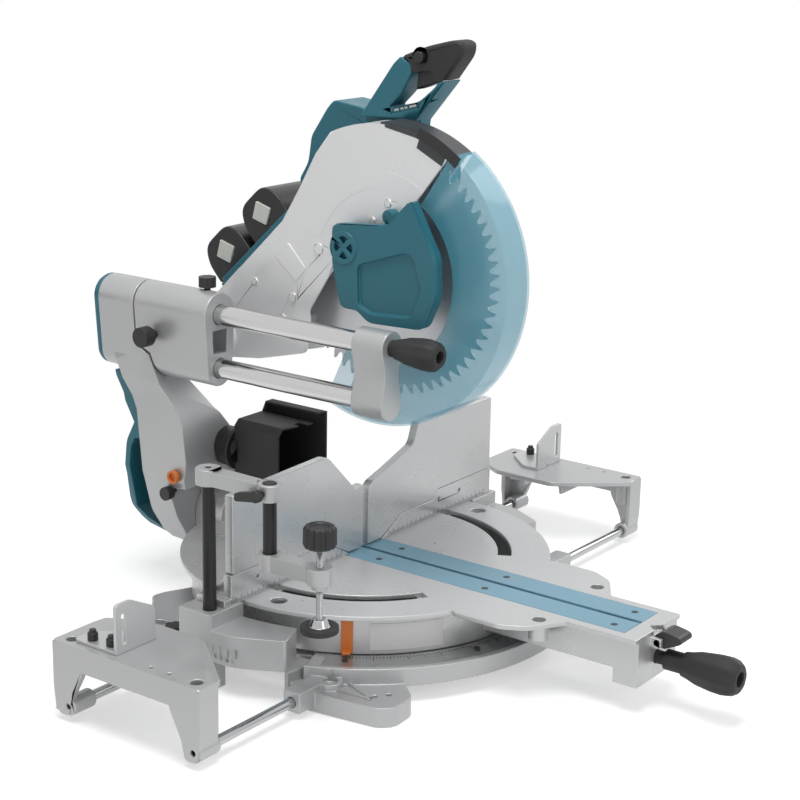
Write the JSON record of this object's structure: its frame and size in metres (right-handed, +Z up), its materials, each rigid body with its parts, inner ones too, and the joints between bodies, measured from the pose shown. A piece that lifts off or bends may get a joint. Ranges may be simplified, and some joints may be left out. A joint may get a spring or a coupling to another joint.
{
  "type": "mitre saw",
  "caption": "Cordless sliding compound mitre saw with cast base, turntable, tall fences, pull-out work supports, clamp, tilting arm, slide poles and guarded blade.",
  "frame": {"origin": "turntable pivot axis at the level of the feet, centre of the four base bolt holes", "axes": "+Z up, -Y towards the operator, +X to the operator's right when facing the saw; the fence face is the plane Y = 0"},
  "size_m": [0.94, 0.89, 0.7391],
  "materials": {
    "cast_silver": "satin",
    "table_silver": "machined satin",
    "case_silver": "semi-gloss",
    "bright_steel": "polished",
    "blade_steel": "ground",
    "dark_steel": "dark",
    "teal_plastic": "semi-gloss",
    "dark_teal": "gloss",
    "black_plastic": "satin",
    "black_rubber": "matte",
    "grey_plastic": "satin",
    "pale_plastic": "satin",
    "kerf_blue": "satin",
    "clear_blue": "clear",
    "orange_plastic": "satin"
  },
  "bodies": {
    "base": {"base_casting": "cast_silver", "mitre_scale": "table_silver", "base_screws": "dark_steel", "pivot_bolt": "dark_steel", "lower_fence_left": "table_silver", "lower_fence_right": "table_silver"},
    "left_wing": {"left_support": "cast_silver", "left_rods": "bright_steel", "left_stop": "table_silver", "left_stop_bolts": "black_plastic"},
    "right_wing": {"right_support": "cast_silver", "right_rods": "bright_steel", "right_stop": "table_silver", "right_stop_bolts": "black_plastic"},
    "left_wing_knob": {"left_clamp_knob": "black_plastic"},
    "right_wing_knob": {"right_clamp_knob": "black_plastic"},
    "left_sliding_fence": {"upper_fence_left": "table_silver"},
    "right_sliding_fence": {"upper_fence_right": "table_silver"},
    "clamp_swing": {"clamp_post": "dark_steel", "clamp_arm": "cast_silver"},
    "clamp_catch": {"clamp_lever": "black_plastic"},
    "clamp_drop": {"clamp_lower_arm": "cast_silver"},
    "clamp_foot": {"clamp_pad": "black_rubber"},
    "clamp_spindle": {"clamp_screw": "dark_steel"},
    "table": {"turntable": "table_silver", "kerf_boards": "kerf_blue", "kerf_screws": "dark_steel", "mitre_pointer": "orange_plastic", "bevel_pin": "dark_steel"},
    "mitre_handle": {"mitre_grip": "black_rubber"},
    "mitre_lever": {"lock_lever": "black_plastic"},
    "arm": {"bevel_arm": "cast_silver", "rear_cover": "teal_plastic", "rear_cap": "teal_plastic", "slide_poles": "bright_steel", "pole_bracket": "cast_silver", "dust_chute": "black_rubber", "dust_elbow": "black_plastic"},
    "bevel_handle": {"bevel_knob": "black_rubber"},
    "latch": {"latch_knob": "black_plastic"},
    "release": {"release_ring": "orange_plastic"},
    "slider": {"carriage": "cast_silver", "hinge_pin": "dark_steel"},
    "stop_screw": {"stop_knob": "black_plastic"},
    "slide_lock": {"slide_lock_knob": "black_plastic"},
    "head": {"blade_case": "case_silver", "case_trim": "grey_plastic", "motor_housing": "teal_plastic", "handle": "teal_plastic", "hand_grip": "black_rubber", "centre_cover": "teal_plastic"},
    "switch_trigger": {"trigger": "black_plastic"},
    "lock_button": {"lock_off_button": "black_plastic"},
    "saw_blade": {"blade": "blade_steel", "arbor": "dark_steel"},
    "guard": {"lower_guard": "clear_blue"},
    "upper_battery": {"battery_upper": "black_plastic"},
    "lower_battery": {"battery_lower": "black_plastic"},
    "upper_button": {"upper_release": "pale_plastic"},
    "lower_button": {"lower_release": "pale_plastic"}
  },
  "joints": [
    {"name": "left_wing_pull", "type": "slide", "parent": "base", "child": "left_wing", "axis": [-1, 0, 0], "range_m": [-0.045, 0.06]},
    {"name": "right_wing_pull", "type": "slide", "parent": "base", "child": "right_wing", "axis": [1, 0, 0], "range_m": [-0.071, 0.034]},
    {"name": "left_wing_clamp", "type": "hinge", "parent": "base", "child": "left_wing_knob", "pos_m": [-0.283, 0.068, 0.055], "axis": [0, 0, 1], "range_deg": [-360, 360]},
    {"name": "right_wing_clamp", "type": "hinge", "parent": "base", "child": "right_wing_knob", "pos_m": [0.283, 0.068, 0.055], "axis": [0, 0, 1], "range_deg": [-360, 360]},
    {"name": "left_fence_lift", "type": "slide", "parent": "base", "child": "left_sliding_fence", "axis": [0, 0, 1], "range_m": [0, 0.05]},
    {"name": "right_fence_lift", "type": "slide", "parent": "base", "child": "right_sliding_fence", "axis": [0, 0, -1], "range_m": [-0.05, 0]},
    {"name": "clamp_swivel", "type": "hinge", "parent": "base", "child": "clamp_swing", "pos_m": [-0.28, 0.014, 0.095], "axis": [0, 0, -1], "range_deg": [-60, 40]},
    {"name": "clamp_lever_turn", "type": "hinge", "parent": "clamp_swing", "child": "clamp_catch", "pos_m": [-0.28, -0.078, 0.258], "axis": [1, 0, 0], "range_deg": [0, 40]},
    {"name": "clamp_height", "type": "slide", "parent": "clamp_swing", "child": "clamp_drop", "axis": [0, 0, 1], "range_m": [0, 0.045]},
    {"name": "clamp_press", "type": "slide", "parent": "clamp_drop", "child": "clamp_foot", "axis": [0, 0, 1], "range_m": [-0.01, 0.03]},
    {"name": "clamp_screw_turn", "type": "hinge", "parent": "clamp_foot", "child": "clamp_spindle", "pos_m": [-0.28, -0.15, 0.2], "axis": [0, 0, 1], "range_deg": [-1900, 5500]},
    {"name": "mitre_turn", "type": "hinge", "parent": "base", "child": "table", "pos_m": [0, 0, 0.05], "axis": [0, 0, 1], "range_deg": [-60, 60]},
    {"name": "mitre_handle_turn", "type": "hinge", "parent": "table", "child": "mitre_handle", "pos_m": [0, -0.45, 0.059], "axis": [0, 1, 0], "range_deg": [-180, 180]},
    {"name": "mitre_lever_press", "type": "hinge", "parent": "table", "child": "mitre_lever", "pos_m": [0, -0.434, 0.084], "axis": [1, 0, 0], "range_deg": [0, 18], "stiffness_Nm_per_rad": 0.4, "springref_deg": -11.46},
    {"name": "bevel_tilt", "type": "hinge", "parent": "table", "child": "arm", "pos_m": [0, 0.25, 0.095], "axis": [0, 1, 0], "range_deg": [-27, 17]},
    {"name": "bevel_handle_turn", "type": "hinge", "parent": "arm", "child": "bevel_handle", "pos_m": [-0.095, -0.15, 0.392], "axis": [0, 1, 0], "range_deg": [-180, 180]},
    {"name": "latch_turn", "type": "hinge", "parent": "arm", "child": "latch", "pos_m": [-0.105, 0.246, 0.142], "axis": [1, 0, 0], "range_deg": [0, 90]},
    {"name": "release_pull", "type": "slide", "parent": "arm", "child": "release", "axis": [-1, 0, 0], "range_m": [0, 0.006], "stiffness_N_per_m": 200, "springref_m": -0.005},
    {"name": "head_slide", "type": "slide", "parent": "arm", "child": "slider", "axis": [0, -1, 0], "range_m": [0, 0.215]},
    {"name": "stop_knob_turn", "type": "hinge", "parent": "slider", "child": "stop_screw", "pos_m": [-0.14, 0.248, 0.358], "axis": [1, 0, 0], "range_deg": [-360, 360]},
    {"name": "slide_lock_turn", "type": "hinge", "parent": "slider", "child": "slide_lock", "pos_m": [-0.089, 0.186, 0.43], "axis": [0, 0, 1], "range_deg": [-360, 360]},
    {"name": "chop", "type": "hinge", "parent": "slider", "child": "head", "pos_m": [0, 0.215, 0.345], "axis": [1, 0, 0], "range_deg": [0, 46], "stiffness_Nm_per_rad": 16, "springref_deg": -148.97},
    {"name": "trigger_press", "type": "slide", "parent": "head", "child": "switch_trigger", "axis": [0, 0, 1], "range_m": [0, 0.005], "stiffness_N_per_m": 400, "springref_m": -0.003},
    {"name": "lock_off_press", "type": "slide", "parent": "head", "child": "lock_button", "axis": [1, 0, 0], "range_m": [0, 0.003], "stiffness_N_per_m": 300, "springref_m": -0.002},
    {"name": "blade_spin", "type": "hinge", "parent": "head", "child": "saw_blade", "pos_m": [0, -0.039, 0.46], "axis": [1, 0, 0], "continuous": true},
    {"name": "guard_open", "type": "hinge", "parent": "head", "child": "guard", "pos_m": [0, -0.039, 0.46], "axis": [1, 0, 0], "range_deg": [-115, 0]},
    {"name": "upper_battery_slide", "type": "slide", "parent": "head", "child": "upper_battery", "axis": [-1, 0, 0], "range_m": [0, 0.08]},
    {"name": "lower_battery_slide", "type": "slide", "parent": "head", "child": "lower_battery", "axis": [-1, 0, 0], "range_m": [0, 0.08]},
    {"name": "upper_button_press", "type": "slide", "parent": "upper_battery", "child": "upper_button", "axis": [1, 0, 0], "range_m": [0, 0.003], "stiffness_N_per_m": 300, "springref_m": -0.002},
    {"name": "lower_button_press", "type": "slide", "parent": "lower_battery", "child": "lower_button", "axis": [1, 0, 0], "range_m": [0, 0.003], "stiffness_N_per_m": 300, "springref_m": -0.002}
  ],
  "couplings": [
    {"joint": "clamp_screw_turn", "follows": "clamp_press", "rad_per_m": 3141.6},
    {"joint": "guard_open", "follows": "chop", "ratio": -2.5}
  ]
}
